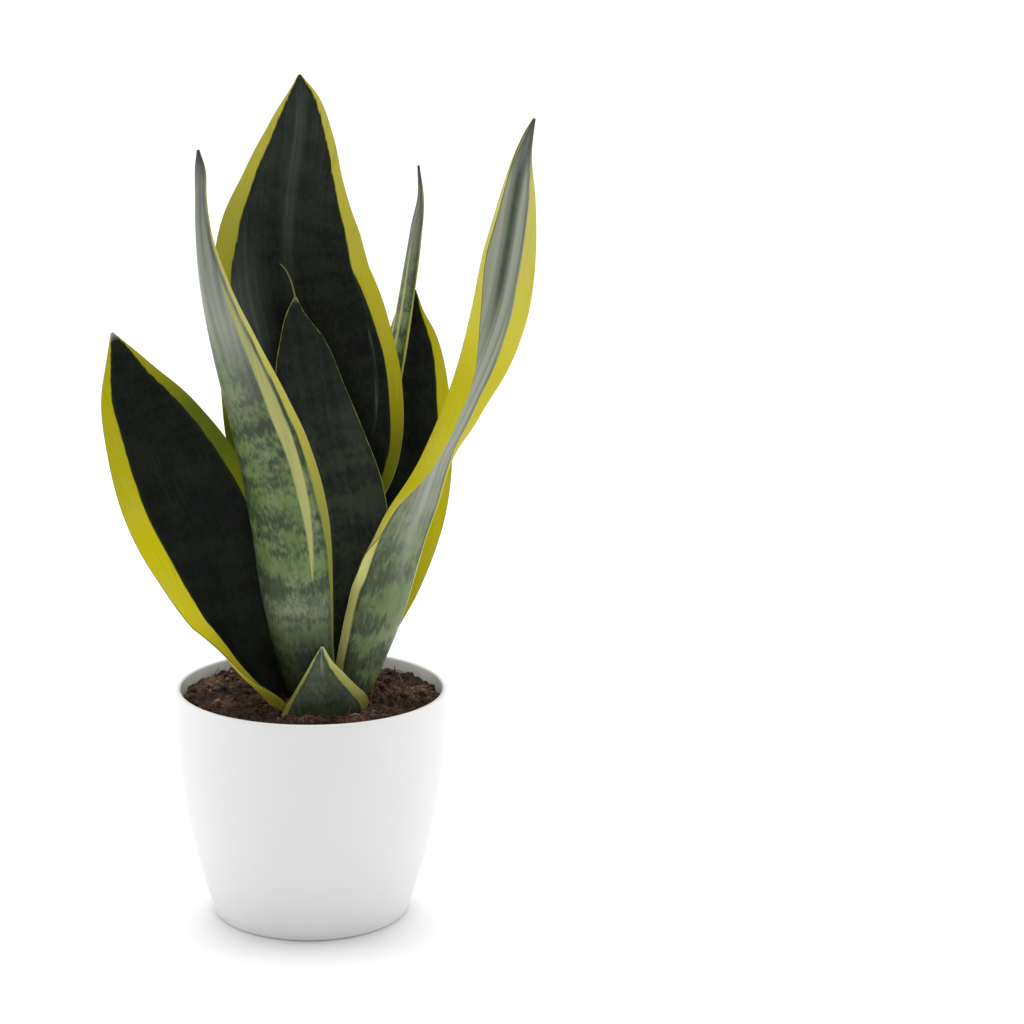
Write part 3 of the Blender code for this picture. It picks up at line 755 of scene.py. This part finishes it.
# Loose crumbs of peat and bark: one low lump, copied, squashed and turned.
def makeCrumbs():
    dice = random.Random(11)
    rough = crumbLook["rough"]
    clearSelection()
    bpy.ops.mesh.primitive_ico_sphere_add(subdivisions=1, radius=1.0)
    lump = bpy.context.object
    base = [v.co.copy() for v in lump.data.vertices]
    faces = [tuple(p.vertices) for p in lump.data.polygons]
    points, polygons = [], []
    for _ in range(crumbLook["count"]):
        x, y = surfacePlace(dice, crumbLook["outer"])
        size = crumbLook["least"] + crumbLook["more"] * dice.random() ** 3
        spin = Matrix.Rotation(dice.uniform(0, 6.3), 3, "Z")
        turn = spin @ Matrix.Rotation(dice.uniform(0, 3.1), 3, "X")
        squash = Vector([dice.uniform(least, most) for least, most in crumbLook["stretch"]])
        centre = Vector((x, y, mixHeight(x, y) + size * 0.15))
        first = len(points)
        for co in base:
            corner = co * (1 + dice.uniform(-rough, rough)) * size
            points.append((turn @ (corner * squash) + centre) * mm)
        polygons += [tuple(first + i for i in face) for face in faces]
    mesh = bpy.data.meshes.new("mixCrumbs")
    mesh.from_pydata([tuple(p) for p in points], [], polygons)
    lump.data = mesh
    lump.name = "mixCrumbs"
    return lump


fibreLook = dict(      # mm; every seventh fibre stands up, and one past the limit is set back
    count=620, outer=60, length=(5, 17), lift=(-0.2, 2.0), rise=(3, 9), riseEvery=7, riseReach=0.4,
    thin=0.06, thicker=0.16, steps=6, bend=0.35, kink=0.3, limit=63, back=62)


# Coir fibres lying on the mix: fine curved strands, four-sided so that hundreds stay light.
def makeFibres():
    dice = random.Random(23)
    curve = newStrands("coirFibres", 0)
    steps, bendMost, kink = (fibreLook[key] for key in ("steps", "bend", "kink"))
    for count in range(fibreLook["count"]):
        x, y = surfacePlace(dice, fibreLook["outer"])
        heading = dice.uniform(0, 2 * math.pi)
        bend = dice.uniform(-bendMost, bendMost)
        length = dice.uniform(*fibreLook["length"])
        lift = dice.uniform(*fibreLook["lift"]) * dice.random()
        standing = count % fibreLook["riseEvery"] == 0
        rise = dice.uniform(*fibreLook["rise"]) if standing else 0
        strand = curve.splines.new("POLY")
        strand.points.add(steps)
        thick = fibreLook["thin"] + fibreLook["thicker"] * dice.random() ** 2
        for k in range(steps + 1):
            share = k / steps
            away = math.hypot(x, y)
            if away > fibreLook["limit"]:
                x, y = x * fibreLook["back"] / away, y * fibreLook["back"] / away
            z = mixHeight(x, y) + 0.1 + lift * math.sin(math.pi * share) + rise * share
            z = z + dice.uniform(-0.1, 0.3)
            strand.points[k].co = (x * mm, y * mm, z * mm, 1)
            strand.points[k].radius = thick
            heading += bend + dice.uniform(-kink, kink)
            reach = length / steps * (fibreLook["riseReach"] if standing else 1)
            x += math.cos(heading) * reach
            y += math.sin(heading) * reach
    return strandsToMesh(curve)


mixLooks = dict(       # tones from the deepest shade to the palest grain, and the grains per metre
    dampPeatMix=(["#100c0b", "#2a201b", "#46352c", "#705848"], 700.0),
    barkCrumbs=(["#1a1310", "#3a2a23", "#614538", "#8c6f58"], 260.0),
    coirFibre=(["#33231c", "#5e4132", "#8a6750", "#b8a48f"], 160.0))


# Peat, bark and coir, screened and damp: matt, crumbly, every grain its own brown.
def makeMixMaterial(name):
    tones, scale = mixLooks[name]
    mat, tree, shader = newMaterial(name, Roughness=0.92, Specular_IOR_Level=0.2)
    place = addNode(tree, "TexCoord").outputs["Object"]
    grains = addNode(tree, "TexNoise",
                     {"Vector": place, "Scale": scale, "Detail": 5.0, "Roughness": 0.65})
    patches = addNode(tree, "TexNoise", {"Vector": place, "Scale": 45.0, "Detail": 3.0})  # 22 mm
    mixed = addNode(tree, "Math", {0: grains, 1: patches}, operation="ADD")
    level = addNode(tree, "MapRange", {0: mixed, 1: 0.7, 2: 1.3})
    ramp = addNode(tree, "ValToRGB", {0: level})
    stops = ramp.color_ramp.elements
    stops[0].color, stops[1].color = linear(tones[0]), linear(tones[-1])
    for k, tone in enumerate(tones[1:-1]):
        stops.new((k + 1) / (len(tones) - 1)).color = linear(tone)
    tree.links.new(ramp.outputs[0], shader.inputs["Base Color"])
    bump = addNode(tree, "Bump", {"Height": grains, "Distance": 0.6 * mm, "Strength": 0.8})
    tree.links.new(bump.outputs[0], shader.inputs["Normal"])
    return mat


for makePiece, material, node in ((makeMixBody, "dampPeatMix", "potting_mix"),
                                  (makeCrumbs, "barkCrumbs", None),
                                  (makeFibres, "coirFibre", None)):
    mixPiece = makePiece()
    mixPiece.data.materials.append(makeMixMaterial(material))
    finishPiece(mixPiece, node)
print("potting mix made")

floorRadius = 200                    # metres: so wide that its far edge is out of the camera's view
clearSelection()
bpy.ops.mesh.primitive_circle_add(
    vertices=96, radius=floorRadius, fill_type="NGON", location=(0, 0, 0))
floor = bpy.context.object
floor.name = "floor"
# White emulsion paint: an even matt white that shows the pot's soft shadow.
floorMat, _, _ = newMaterial("whitePaintedFloor", Base_Color=linear("#fafafa"), Roughness=0.9,
                             Specular_IOR_Level=0.1)
floor.data.materials.append(floorMat)

lights = dict(         # metres, degrees; world and overhead are strengths, boxPower is in watts
    world=0.56,
    boxes=dict(leftBox=(-1.6, 0.3, 0.7), rightBox=(1.6, 0.3, 0.7)),
    boxAim=(0, 0, 0.15), boxSize=(0.9, 1.2), boxPower=7.2,
    overhead=2.25, overheadAngle=50, overheadTilt=-14)

scene = bpy.context.scene
scene.view_settings.view_transform = "Standard"
world = bpy.data.worlds.new("studio")
scene.world = world
world.use_nodes = True
background = world.node_tree.nodes["Background"]
background.inputs["Color"].default_value = linear("#ffffff")
background.inputs["Strength"].default_value = lights["world"]


def softBox(name, place):
    light = bpy.data.lights.new(name, "AREA")
    light.shape = "RECTANGLE"
    light.size, light.size_y = lights["boxSize"]
    light.energy = lights["boxPower"]
    lamp = bpy.data.objects.new(name, light)
    scene.collection.objects.link(lamp)
    lamp.location = place
    aim = Vector(lights["boxAim"]) - Vector(place)
    lamp.rotation_euler = aim.to_track_quat("-Z", "Y").to_euler()


# A wide soft ceiling of light, a little behind the plant.
def makeOverhead():
    light = bpy.data.lights.new("overhead", "SUN")
    light.energy = lights["overhead"]
    light.angle = math.radians(lights["overheadAngle"])
    lamp = bpy.data.objects.new("overhead", light)
    lamp.rotation_euler = (math.radians(lights["overheadTilt"]), 0, 0)
    scene.collection.objects.link(lamp)


for boxName, boxPlace in lights["boxes"].items():
    softBox(boxName, boxPlace)
makeOverhead()

# metres; degrees that it looks down and to the right; mm of lens
camera = dict(place=(0, -1.2, 0.472), down=12.5, aside=4.61, lens=87.26)


def makeCamera():
    down, aside = math.radians(camera["down"]), math.radians(camera["aside"])
    ahead = Vector((0, math.cos(down), -math.sin(down)))
    right = Vector((1, 0, 0))
    up = right.cross(ahead)
    look = ahead * math.cos(aside) + right * math.sin(aside)
    right = right * math.cos(aside) - ahead * math.sin(aside)
    lensData = bpy.data.cameras.new("camera")
    lensData.lens = camera["lens"]
    lensData.sensor_width = 36
    cam = bpy.data.objects.new("camera", lensData)
    scene.collection.objects.link(cam)
    turn = Matrix((right, up, -look)).transposed().to_4x4()
    cam.matrix_world = Matrix.Translation(camera["place"]) @ turn
    scene.camera = cam


makeCamera()
print("stage, light and camera made")
